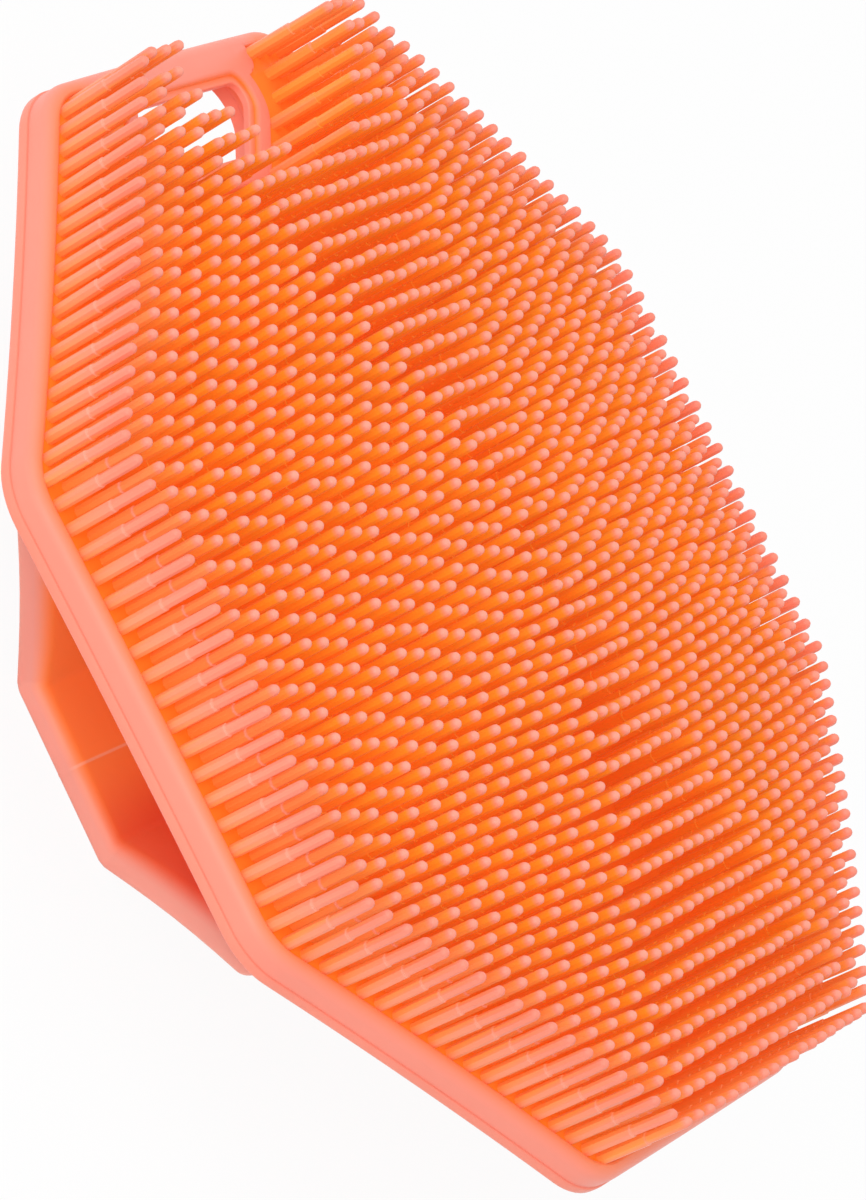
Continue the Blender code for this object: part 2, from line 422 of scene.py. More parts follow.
def cured_surface_group() -> bpy.types.NodeTree:
    """The slight clouding, sheen patches and fine mould grain of cured silicone.

    Returns:
        A group from a colour and amounts to a colour, a roughness and a height.
    """
    graph, given = new_group(
        "cured_surface",
        {"Color": "Color", "Clouding": "Float", "Roughness": "Float", "Grain": "Float"},
        {"Color": "Color", "Roughness": "Float", "Height": "Float"})
    place = graph.node("TexCoord").outputs["Object"]
    cloud, patch, grain = (
        graph.node("TexNoise", {"Vector": place, "Scale": scale, "Detail": NOISE_DETAIL}).outputs["Fac"]
        for scale in (CLOUD_SCALE, PATCH_SCALE, GRAIN_SCALE))
    value = graph.around(1.0, cloud, given["Clouding"])
    shaded = graph.node("HueSaturation", {"Color": given["Color"], "Value": value}).outputs["Color"]
    uneven = graph.around(given["Roughness"], patch, PATCH_ROUGHNESS)
    height = graph.sums("MULTIPLY", grain, given["Grain"])
    return end_group(graph, {"Color": shaded, "Roughness": uneven, "Height": height})


@dataclass(frozen=True)
class SiliconeFinish:
    """The finish of one area of the moulding, painted pale where the light meets it and painted shade in its
    hollows.
    """

    name: str
    # surface is the painted lit colour and deep the painted shade colour
    surface: Colour
    deep: Colour
    roughness: float = 0.42
    clouding: float = 0.10
    grain: float = 0.5
    grain_depth: float = 0.02 * MM
    ior: float = 1.41
    specular: float = 0.40
    sheen: float = 0.10
    sheen_roughness: float = 0.5
    # through: the colour of an emitted painted glow in the hollows
    through: Colour = BLACK

    def through_light(self, graph: Graph) -> Socket:
        """An emitted painted glow for the light through the moulding in its hollows, as the painted shade
        share says.
        """
        return graph.blend(graph.painted("painted_shade_share"), BLACK, self.through)

    def colour(self, graph: Graph) -> Socket:
        """The way from the painted lit colour to the painted shade colour, as the piece's own painted share
        says.
        """
        return graph.blend(graph.painted("painted_shade_share"), self.surface, self.deep)

    def material(self, groups: Groups) -> bpy.types.Material:
        """Makes the material.

        Args:
            groups: The shared node groups by name.

        Returns:
            The material.
        """
        made = bpy.data.materials.new(self.name)
        made.use_nodes = True
        graph = Graph(made.node_tree)
        amounts = {"Color": self.colour(graph), "Clouding": self.clouding, "Roughness": self.roughness,
                   "Grain": self.grain}
        cured = graph.node("Group", amounts, node_tree=groups["cured_surface"]).outputs
        bump = graph.node("Bump", {"Height": cured["Height"], "Distance": self.grain_depth})
        looks = {"Base Color": cured["Color"], "Roughness": cured["Roughness"],
                 "Normal": bump.outputs["Normal"], "IOR": self.ior, "Specular IOR Level": self.specular,
                 "Sheen Weight": self.sheen, "Sheen Roughness": self.sheen_roughness}
        # The emitted painted glow that lifts the painted shade in the hollows
        if any(self.through):
            looks |= {"Emission Color": self.through_light(graph), "Emission Strength": 1.0}
        graph.feed(made.node_tree.nodes["Principled BSDF"], looks)
        return made


@dataclass(frozen=True)
class BristleFinish(SiliconeFinish):
    """The bristles' finish: a painted highlight on the tip over a painted-shade shaft, and a painted lit
    outer side by the rim.
    """

    # Painted light: root is the colour at the shaft's root under its painted shade, flank the painted lit
    # outer side
    root: Colour = (0.96, 0.33, 0.018)
    flank: Colour = (0.95, 0.265, 0.180)
    # tip_fade: the reach of the tip's painted highlight; root_fade: the way down the shaded shaft to the root
    # colour
    tip_fade: tuple[float, float] = (0.35, 1.30)
    root_fade: tuple[float, float] = (4.5, 11.5)
    through_fade: tuple[float, float] = (0.8, 8.0)
    tone: float = 0.06

    def through_light(self, graph: Graph) -> Socket:
        """An emitted painted glow for the light that the bristles pass on to one another, by the distance
        below the tip.
        """
        share = graph.between(graph.painted("below_tip"), *self.through_fade)
        return graph.blend(share, BLACK, self.through)

    def colour(self, graph: Graph) -> Socket:
        """The colour by the distance below the tip in mm, with painted highlights, painted shade, a lit side
        and the tone.

        Args:
            graph: The material's graph.

        Returns:
            The colour.
        """
        below = graph.painted("below_tip")
        # Painted shade down the shaft, to the root colour
        shaft = graph.blend(graph.between(below, *self.root_fade), self.deep, self.root)
        # The tip's painted highlight, fading into the shaft
        inner = graph.blend(graph.between(below, *self.tip_fade), self.surface, shaft)
        # The painted lit outer side
        outer = graph.blend(graph.painted("lit_side_share"), inner, self.flank)
        # The painted highlight on the step's collar
        mixed = graph.blend(graph.painted("collar_highlight_share"), outer, self.surface)
        value = graph.around(1.0, graph.painted("bristle_tone"), self.tone)
        return graph.node("HueSaturation", {"Color": mixed, "Value": value}).outputs["Color"]


@dataclass(frozen=True)
class StrapFinish(SiliconeFinish):
    """The strap's finish, with painted shade on its inner face that deepens towards its far leg."""

    # far: the painted shade colour at the far leg; seam: an emitted painted highlight; through_end: the
    # emitted glow's reach
    far: Colour = (0.84, 0.12, 0.065)
    seam: Colour = (0.10, 0.11, 0.05)
    through_end: float = 0.4

    def through_light(self, graph: Graph) -> Socket:
        """An emitted painted glow for the light through the near part of the strap's inner face, and a
        painted highlight along its seam.

        Args:
            graph: The material's graph.

        Returns:
            The light's colour.
        """
        along = graph.between(graph.painted("far_share"), 0.0, self.through_end)
        inner = graph.blend(graph.painted("painted_shade_share"), BLACK, graph.blend(along, self.through, BLACK))
        return graph.blend(graph.painted("seam_highlight_share"), inner, self.seam)

    def colour(self, graph: Graph) -> Socket:
        """The colour with painted shade, by the share of the inner face and the share of the way to the far
        leg.
        """
        inner = graph.blend(graph.painted("far_share"), self.deep, self.far)
        return graph.blend(graph.painted("painted_shade_share"), self.surface, inner)


# Each finish: its painted lit colour, its painted shade colour, and the colour of its emitted painted glow
RIM = SiliconeFinish("silicone_rim", (0.98, 0.29, 0.205), (0.98, 0.24, 0.012), through=(0.04, 0.022, 0.002))
BACK = SiliconeFinish("silicone_back", (0.97, 0.28, 0.19), (0.99, 0.22, 0.05))
LIP = SiliconeFinish("silicone_lip", (0.98, 0.31, 0.22), (0.99, 0.20, 0.04))
STRAP = StrapFinish("silicone_strap", (0.86, 0.38, 0.30), (0.97, 0.28, 0.07), through=(0.10, 0.055, 0.008))
BRISTLE = BristleFinish("silicone_bristle", (0.95, 0.35, 0.25), (0.96, 0.33, 0.020), grain=0.3,
                        through=(0.04, 0.033, 0.005))


# The moulding's shape


@dataclass(frozen=True)
class Bow:
    """The gentle bow of the pad, bulging towards the bristles."""

    half_width: float = 65.1 * MM
    lengthwise: float = 1.2 * MM
    crosswise: float = 4.3 * MM
    crest: float = 27.3 * MM

    def normals(self, x: np.ndarray, y: np.ndarray) -> np.ndarray:
        """The bow's normals at places of the flat pad.

        Args:
            x: The places along X.
            y: The places along Y.

        Returns:
            One unit row for each place.
        """
        scale = 2 / self.half_width ** 2
        rows = np.stack([self.lengthwise * x * scale, self.crosswise * y * scale, np.ones_like(x)], axis=1)
        return rows / np.linalg.norm(rows, axis=1)[:, None]

    def sag(self, x: np.ndarray, y: np.ndarray) -> np.ndarray:
        """How far the front face lies below its crest at places of the flat pad."""
        return (self.lengthwise * x ** 2 + self.crosswise * y ** 2) / self.half_width ** 2

    def lay(self, points: np.ndarray) -> np.ndarray:
        """Bends points of the flat pad to the bow, with their heights along its normals.

        Args:
            points: One row for each point, with the height above the front face in Z.

        Returns:
            The bent points.
        """
        x, y = points[:, 0], points[:, 1]
        base = np.stack([x, y, self.crest - self.sag(x, y)], axis=1)
        return base + self.normals(x, y) * points[:, 2:3]

    def lay_object(self, item: Object) -> None:
        """Bends an object to the bow."""
        move_points(item, self.lay(points_of(item)))


@dataclass(frozen=True)
class HangHole:
    """The rounded outline of the hang hole, which narrows from its long side at the pad's end."""

    end: float = -59.6 * MM
    width: float = 31.2 * MM
    inner_width: float = 13.2 * MM
    depth: float = 8.3 * MM
    corner_radius: float = 1.8 * MM
    post_sides: int = 48

    def corner_centres(self) -> list[Vector]:
        """Works out the middles of the four corner arcs.

        Returns:
            The middles, anticlockwise.
        """
        inner = self.end + self.depth
        corners = [Vector((inner, -self.inner_width / 2)), Vector((inner, self.inner_width / 2)),
                   Vector((self.end, self.width / 2)), Vector((self.end, -self.width / 2))]
        centres = []
        for index, corner in enumerate(corners):
            back = (corners[index - 1] - corner).normalized()
            onwards = (corners[(index + 1) % len(corners)] - corner).normalized()
            half_sine = sqrt((1 - back.dot(onwards)) / 2)
            centres.append(corner + (back + onwards).normalized() * self.corner_radius / half_sine)
        return centres

    def prism(self, name: str, margin: float, low: float, high: float) -> Object:
        """A prism of the hole's outline, moved outwards by a margin."""
        radius = self.corner_radius + margin
        return hull_of_posts(name, self.corner_centres(), radius, low, high, self.post_sides)

    def distance(self, x: float, y: float) -> float:
        """How far a place lies outside the hole's outline; negative inside it."""
        return outside_of(self.corner_centres(), x, y) - self.corner_radius

    def farther_end(self, edge: Edge) -> float:
        """How far the farther end of an edge lies outside the hole's outline."""
        return max(self.distance(vertex.co.x, vertex.co.y) for vertex in edge.verts)

    def sharp(self) -> "HangHole":
        """The same outline with sharp corners."""
        return replace(self, corner_radius=0.0)


@dataclass(frozen=True)
class Pad:
    """The pad's front body with its hollow for the bristles, and the back skin under the parting line."""

    bow: Bow
    hole: HangHole
    width: float = 130.2 * MM
    corner_radius: float = 9.5 * MM
    front_low: float = -3.04 * MM
    back_high: float = -3.06 * MM
    back_low: float = -4.5 * MM
    rim_width: float = 2.05 * MM
    floor_depth: float = 0.5 * MM
    web: float = 1.3 * MM
    pocket_margin: float = 2.5 * MM
    band_margin: float = 3.5 * MM
    ledge: float = 0.9 * MM
    end_face: float = 5.0 * MM
    end_face_half: float = 18.2 * MM
    end_face_corner: float = 1.6 * MM
    front_inset: float = 0.25 * MM
    front_edge: Rounding = Rounding(1.35 * MM, 7)
    hollow_edge: Rounding = Rounding(0.42 * MM, 3)
    band_edge: Rounding = Rounding(0.6 * MM, 4)
    parting_edge: Rounding = Rounding(0.15 * MM, 2)
    back_edge: Rounding = Rounding(0.5 * MM, 4)
    # The painted shade that spreads onto the rim's inner edge: its reach and its share
    glow: float = 1.7 * MM
    glow_share: float = 0.65
    row: float = 3.6 * MM
    over: float = 2.0 * MM
    post_sides: int = 64
    smooth_angle: float = radians(32)

    def corner_centres(self) -> list[Vector]:
        """Works out the middles of the eight corner arcs.

        Returns:
            The middles, anticlockwise.
        """
        reach = (self.width / 2 - self.corner_radius) / cos(SIDE_TURN / 2)
        turns = [SIDE_TURN / 2 + SIDE_TURN * side for side in range(SIDES)]
        return [Vector((cos(turn), sin(turn))) * reach for turn in turns]

    def octagon(self, name: str, low: float, high: float, inset: float = 0.0) -> Object:
        """A rounded octagonal slab between two heights."""
        radius = self.corner_radius - inset
        return hull_of_posts(name, self.corner_centres(), radius, low, high, self.post_sides)

    def on_band(self, edge: Edge) -> bool:
        """Whether an edge lies on the band round the hole."""
        return self.hole.farther_end(edge) < self.band_margin + NEAR

    def ease_face_edges(self, item: Object) -> None:
        """Rounds the edges where the front face drops to the hole's ledge and to the hollow.

        Args:
            item: The front body, not yet bowed.
        """
        for rounding, wanted in ((self.band_edge, True), (self.hollow_edge, False)):
            round_edges(item, rounding, lambda edge: at_height(edge, 0.0) and over_drop(edge)
                        and self.on_band(edge) == wanted)

    def in_rows(self, item: Object) -> None:
        """Cuts a slab into rows both ways, so that it follows the bow.

        Args:
            item: The slab, not yet bowed.
        """
        count = floor(self.width / 2 / self.row)
        places = [self.row * step for step in range(-count, count + 1)]
        with editing(item):
            cut_rows(item, ALONG, places)
            cut_rows(item, ACROSS, places)

    def hollow(self) -> Object:
        """Builds what is cut from the front for the bristles.

        Returns:
            A cutter over all but the rim, the hole's band and the end face.
        """
        item = self.octagon("hollow", -self.floor_depth, self.over, self.rim_width)
        cut_with(item, self.hole.prism("band", self.band_margin, -self.over, 2 * self.over))
        reach = self.width / 2 - self.end_face + self.end_face_corner
        half = self.end_face_half - self.end_face_corner
        corners = [Vector((-x, y)) for x in (reach, self.width / 2) for y in (-half, half)]
        cut_with(item, hull_of_posts("end_face", corners, self.end_face_corner, -self.over, 2 * self.over,
                                     self.post_sides // 2))
        return item

    def build_front(self) -> Object:
        """Builds the front body with its rounded rim, its hollow, its hole and the pocket behind the hole.

        Returns:
            The front body, bowed and painted.
        """
        item = self.octagon("pad_front", self.front_low, 0.0, self.front_inset)
        round_edges(item, self.front_edge, lambda edge: at_height(edge, 0.0))
        cut_with(item, self.hollow())
        cut_with(item, self.hole.prism("pocket", self.pocket_margin, self.front_low - self.over, -self.web))
        cut_with(item, self.hole.prism("hole", self.ledge, self.front_low - self.over, self.over))
        self.ease_face_edges(item)
        self.in_rows(item)
        # Painted shade in the hollow and on the rim's inner edge
        paint(item, "painted_shade_share", self.painted_shade_share(points_of(item)))
        self.bow.lay_object(item)
        smooth(item, self.smooth_angle)
        return item

    def painted_shade_share(self, points: np.ndarray) -> np.ndarray:
        """How much painted shade the front gets: all of it in the hollow, some on the rim's edge.

        Args:
            points: The front body's vertices before it is bowed, one row each.

        Returns:
            One share for each point.
        """
        centres = self.corner_centres()
        inset = self.corner_radius - np.array([outside_of(centres, x, y) for x, y, _ in points])
        near = np.clip((inset - self.rim_width) / self.glow + 1, 0.0, 1.0) * self.glow_share
        beside = np.clip((np.abs(points[:, 1]) - self.end_face_half) / self.glow, 0.0, 1.0)
        near *= np.where(points[:, 0] < self.end_face - self.width / 2, beside, 1.0)
        down = np.clip(-points[:, 2] / self.floor_depth, 0.0, 1.0)
        inner = inset > self.rim_width - self.hollow_edge.reach - NEAR
        share = np.maximum(np.where(inner, down, 0.0), np.where(inset < self.rim_width + NEAR, near, 0.0))
        return np.where(points[:, 2] < self.front_low / 2, 0.0, share)

    def build_back(self) -> Object:
        """Builds the back skin, open round the hang hole.

        Returns:
            The back skin, bowed.
        """
        item = self.octagon("pad_back", self.back_low, self.back_high)
        round_edges(item, self.parting_edge, lambda edge: at_height(edge, self.back_high))
        round_edges(item, self.back_edge, lambda edge: at_height(edge, self.back_low))
        cut_with(item, self.hole.prism("opening", self.pocket_margin, self.back_low - self.over, self.over))
        self.in_rows(item)
        self.bow.lay_object(item)
        smooth(item, self.smooth_angle)
        return item

    def make(self, groups: Groups) -> None:
        """Builds, dresses and places the pad.

        Args:
            groups: The shared node groups by name.
        """
        pieces = (self.build_front(), self.build_back())
        for item, finish, node in zip(pieces, (RIM, BACK), ("front_pad", "back_skin")):
            item.data.materials.append(finish.material(groups))
            stand_for(item, node, node)


@dataclass(frozen=True)
class HoleLip:
    """The low ledge along the hang hole, with the hole's own wall."""

    bow: Bow
    hole: HangHole
    width: float = 1.0 * MM
    top: float = -0.5 * MM
    low: float = -1.3 * MM
    edge: Rounding = Rounding(0.22 * MM, 3)
    row: float = 3.6 * MM
    rows_along: range = range(-17, 0)
    rows_across: range = range(-6, 7)
    smooth_angle: float = radians(40)

    def make(self, groups: Groups) -> None:
        """Builds, dresses and places the ledge.

        Args:
            groups: The shared node groups by name.
        """
        item = self.hole.prism("hole_lip", self.width, self.low, self.top)
        cut_with(item, self.hole.prism("lip_hole", 0.0, 2 * self.low, -self.low))
        round_edges(item, self.edge, lambda edge: at_height(edge, self.top) and over_drop(edge)
                    and self.hole.farther_end(edge) < self.width / 2)
        with editing(item):
            cut_rows(item, ALONG, [self.row * step for step in self.rows_along])
            cut_rows(item, ACROSS, [self.row * step for step in self.rows_across])
        # Painted shade on the ledge, deepening from the hole's edge outwards
        out = np.array([self.hole.distance(x, y) for x, y, _ in points_of(item)])
        paint(item, "painted_shade_share", np.clip(out / self.width, 0.0, 1.0))
        self.bow.lay_object(item)
        smooth(item, self.smooth_angle)
        item.data.materials.append(LIP.material(groups))
        stand_for(item, "hang_hole_lip", "hang_hole_lip")


@dataclass(frozen=True)
class BristleField:
    """The bristles, in octagonal rings that run in from the rim, sorted into eight sectors."""

    bow: Bow
    hole: HangHole
    spacing: float = 2.8 * MM
    outer_apothem: float = 62.2 * MM
    rings: int = 22
    length: float = 11.5 * MM
    crown: float = 1.9 * MM
    root: float = 0.9 * MM
    thick: float = 1.5 * MM
    thin: float = 1.26 * MM
    step_share: float = 0.5
    step_length: float = 0.06 * MM
    collar: float = 0.22 * MM
    tip_angles: tuple[float, float] = (radians(32), radians(62))
    sides: int = 8
    smooth_angle: float = radians(35)
    hole_margin: float = 3.3 * MM
    lean: float = radians(0.4)
    # The painted lit side of the outer rings and of bristles by the hole, and the painted highlight on the
    # collar
    pale_rings: tuple[float, ...] = (0.95, 0.40)
    pale_base: tuple[float, ...] = (0.34, 0.24, 0.16, 0.08)
    pale_power: float = 1.4
    collar_highlight_share: float = 0.70
    collar_base: float = 0.4
    hole_reach: float = 6.6 * MM
    hole_pale: float = 0.7
    seed: int = 7

    def model(self) -> Object:
        """Models one bristle on the origin: a thick shaft, a step, a thin shaft and a round tip.

        Returns:
            The bristle.
        """
        step = self.length * self.step_share
        first = step - self.collar
        bpy.ops.mesh.primitive_cylinder_add(
            vertices=self.sides, radius=self.thick / 2, depth=first + self.root,
            location=(0.0, 0.0, (first - self.root) / 2))
        item = bpy.context.object
        item.name = "bristle"
        bpy.ops.object.transform_apply(location=True, rotation=True, scale=True)
        tip = self.thin / 2
        low, high = self.tip_angles
        moves = [(self.collar, 1.0), (self.step_length, self.thin / self.thick), (self.collar, 1.0),
                 (self.length - tip - step - self.step_length - self.collar, 1.0),
                 (tip * sin(low), cos(low)), (tip * (sin(high) - sin(low)), cos(high) / cos(low))]
        with editing(item):
            pick(item, Pick.FACE, lambda face: face.normal.z > LEVEL)
            for rise, narrowing in moves:
                bpy.ops.mesh.extrude_region_move(TRANSFORM_OT_translate={"value": (0.0, 0.0, rise)})
                bpy.ops.transform.resize(value=(narrowing, narrowing, 1.0))
            last_rise = (0.0, 0.0, tip * (1 - sin(high)))
            bpy.ops.mesh.extrude_region_move(TRANSFORM_OT_translate={"value": last_rise})
            bpy.ops.mesh.merge(type="CENTER")
        smooth(item, self.smooth_angle)
        return item

    def places(self) -> list[tuple[int, int, float, float]]:
        """Works out every bristle's sector, ring and place on the flat pad.

        Returns:
            One tuple for each bristle: sector, ring, x and y.
        """
        found = [(0, self.rings, 0.0, 0.0)]
        side_share = 2 * tan(SIDE_TURN / 2)
        hole = self.hole.sharp()
        for ring in range(self.rings):
            apothem = self.outer_apothem - ring * self.spacing
            side = side_share * apothem
            count = round(SIDES * side / self.spacing)
            for index in range(count):
                walked = SIDES * side * index / count + side / 2
                sector = int(walked // side)
                along = walked - sector * side - side / 2
                turn = sector % SIDES * SIDE_TURN
                x = apothem * cos(turn) - along * sin(turn)
                y = apothem * sin(turn) + along * cos(turn)
                if hole.distance(x, y) > self.hole_margin:
                    found.append((sector % SIDES, ring, x, y))
        return found

    def pale_side(self, sector: int, ring: int, x: float, y: float) -> tuple[np.ndarray, float]:
        """Which side of a bristle gets the painted lit colour: the outer one along the rim, and the near one
        by the hole.

        Args:
            sector: The side of the octagon that it belongs to.
            ring: Its ring, from 0 along the rim inwards.
            x: Its place along X on the flat pad.
            y: Its place along Y on the flat pad.

        Returns:
            The direction that the side faces, in X and Y, and how pale it is.
        """
        away = np.array((cos(sector * SIDE_TURN), sin(sector * SIDE_TURN)))
        if ring < len(self.pale_rings):
            return away, self.pale_rings[ring]
        if self.hole.distance(x, y) >= self.hole_reach:
            return away, 0.0
        to_hole = np.array((self.hole.end + self.hole.depth / 2 - x, -y))
        return to_hole / hypot(*to_hole), self.hole_pale

    def copy_of(self, model: Object, sector: int, ring: int, x: float, y: float,
                rng: random.Random) -> Object:
        """A copy of the bristle with its own mesh, stretched to its length and stood on the bow.

        Args:
            model: The bristle on the origin.
            sector: The side of the octagon that it belongs to.
            ring: Its ring, from 0 along the rim inwards.
            x: Its place along X on the flat pad.
            y: Its place along Y on the flat pad.
            rng: Gives each bristle its slight lean, turn and tone.

        Returns:
            The copy.
        """
        item = model.copy()
        item.data = model.data.copy()
        bpy.context.scene.collection.objects.link(item)
        points = points_of(item)
        share = max(0.0, 1 - ring * self.spacing / self.outer_apothem)
        longer = self.crown * (1 - share ** 2) ** 2
        step = self.length * self.step_share
        at_step = np.abs(points[:, 2] - step) < self.collar / 2
        lift = np.where(points[:, 2] > step / 2, self.step_share * longer, 0.0)
        lift[points[:, 2] > step + 2 * self.collar] = longer
        points[:, 2] += lift
        below = (self.length + longer - points[:, 2]) / MM
        up = Vector(self.bow.normals(np.array([x]), np.array([y]))[0])
        turns = (rng.gauss(0, self.lean), rng.gauss(0, self.lean), rng.uniform(0, 2 * pi / self.sides))
        stand = np.array(up.to_track_quat("Z", "Y").to_matrix() @ Euler(turns).to_matrix())
        foot = self.bow.lay(np.array([[x, y, 0.0]]))[0]
        placed = points @ stand.T
        away, pale = self.pale_side(sector, ring, x, y)
        # How much each vertex faces the lit side, for the painted lit colour
        facing = np.clip(placed[:, :2] @ away / (self.thick / 2), 0.0, 1.0) ** self.pale_power
        base = self.pale_base[ring] if ring < len(self.pale_base) else 0.0
        collar = self.collar_highlight_share * (self.collar_base + facing) if ring < len(self.pale_rings) else 0.0
        move_points(item, placed + foot)
        paint(item, "below_tip", below)
        # Painted light: the lit outer side and the highlight on the collar
        paint(item, "lit_side_share", np.clip(np.maximum(pale * facing, base), 0.0, 1.0))
        paint(item, "collar_highlight_share", np.clip(at_step * collar, 0.0, 1.0))
        paint(item, "bristle_tone", np.full(len(points), rng.random()))
        return item

    def make(self, groups: Groups) -> None:
        """Builds the eight sectors, dresses them and places them.

        Args:
            groups: The shared node groups by name.
        """
        rng = random.Random(self.seed)
        model = self.model()
        finish = BRISTLE.material(groups)
        sectors: dict[int, list[Object]] = {side: [] for side in range(SIDES)}
        for side, ring, x, y in self.places():
            sectors[side].append(self.copy_of(model, side, ring, x, y, rng))
        bpy.data.objects.remove(model, do_unlink=True)
        for side, bristles in sectors.items():
            select_only(*bristles)
            bpy.ops.object.join()
            item = bpy.context.object
            item.name = item.data.name = f"bristle_field_{side + 1}"
            item.data.materials.append(finish)
            stand_for(item, "bristles", f"bristles_{side + 1}")
            LOG.info("%s: %d bristles", item.name, len(bristles))


@dataclass(frozen=True)
class StrapPath:
    """One face of the strap seen from its edge: a flat run, two slopes and two upright roots."""

    base: float = 0.0
    flat_half: float = 10.3 * MM
    root_half: float = 27.6 * MM
    slope: float = radians(45)
    top: float = 22.6 * MM
    bend_radius: float = 1.7 * MM
    knee_radius: float = 4.2 * MM
    inner_bend: float = 0.7
    inner_knee: float = 0.5

    def runs(self) -> list[tuple[float, float, float]]:
        """Works out the stretches from the middle outwards: flat run, bend, slope, knee and root.

        Returns:
            Each stretch's length, its start angle and its turn.
        """
        bend = self.bend_radius * tan(self.slope / 2)
        knee_turn = pi / 2 - self.slope
        knee = self.knee_radius * tan(knee_turn / 2)
        reach = self.root_half - self.flat_half
        return [(self.flat_half - bend, 0.0, 0.0), (self.bend_radius * self.slope, 0.0, self.slope),
                (reach / cos(self.slope) - bend - knee, self.slope, 0.0),
                (self.knee_radius * knee_turn, self.slope, knee_turn),
                (self.top - self.base - reach * tan(self.slope) - knee, pi / 2, 0.0)]

    def inner(self, thickness: float) -> "StrapPath":
        """The strap's other face, one thickness further in."""
        return replace(self, base=self.base + thickness, root_half=self.root_half - thickness,
                       flat_half=self.flat_half - thickness * tan(self.slope / 2),
                       bend_radius=self.bend_radius * self.inner_bend,
                       knee_radius=self.knee_radius * self.inner_knee)

    def at(self, run: int, share: float) -> tuple[float, float]:
        """Finds the place that lies a share of the way along one of the stretches.

        Args:
            run: The stretch, from 0 in the middle outwards.
            share: The share of it, from 0 to 1.

        Returns:
            The place in X and Z.
        """
        x, z = 0.0, self.base
        for number, (length, start, turn) in enumerate(self.runs()[:run + 1]):
            part = share if number == run else 1.0
            if turn:
                radius = length / turn
                end = start + turn * part
                x += radius * (sin(end) - sin(start))
                z += radius * (cos(start) - cos(end))
            else:
                x += length * part * cos(start)
                z += length * part * sin(start)
        return x, z

    def stretch_at(self, walked: float) -> tuple[int, float]:
        """Finds the stretch that a distance ends in.

        Args:
            walked: The distance from the middle along the path.

        Returns:
            The stretch's number, and the share of it that is walked.
        """
        left = walked
        lengths = [run[0] for run in self.runs()]
        for number, length in enumerate(lengths[:-1]):
            if left <= length:
                return number, left / length
            left -= length
        return len(lengths) - 1, left / lengths[-1]


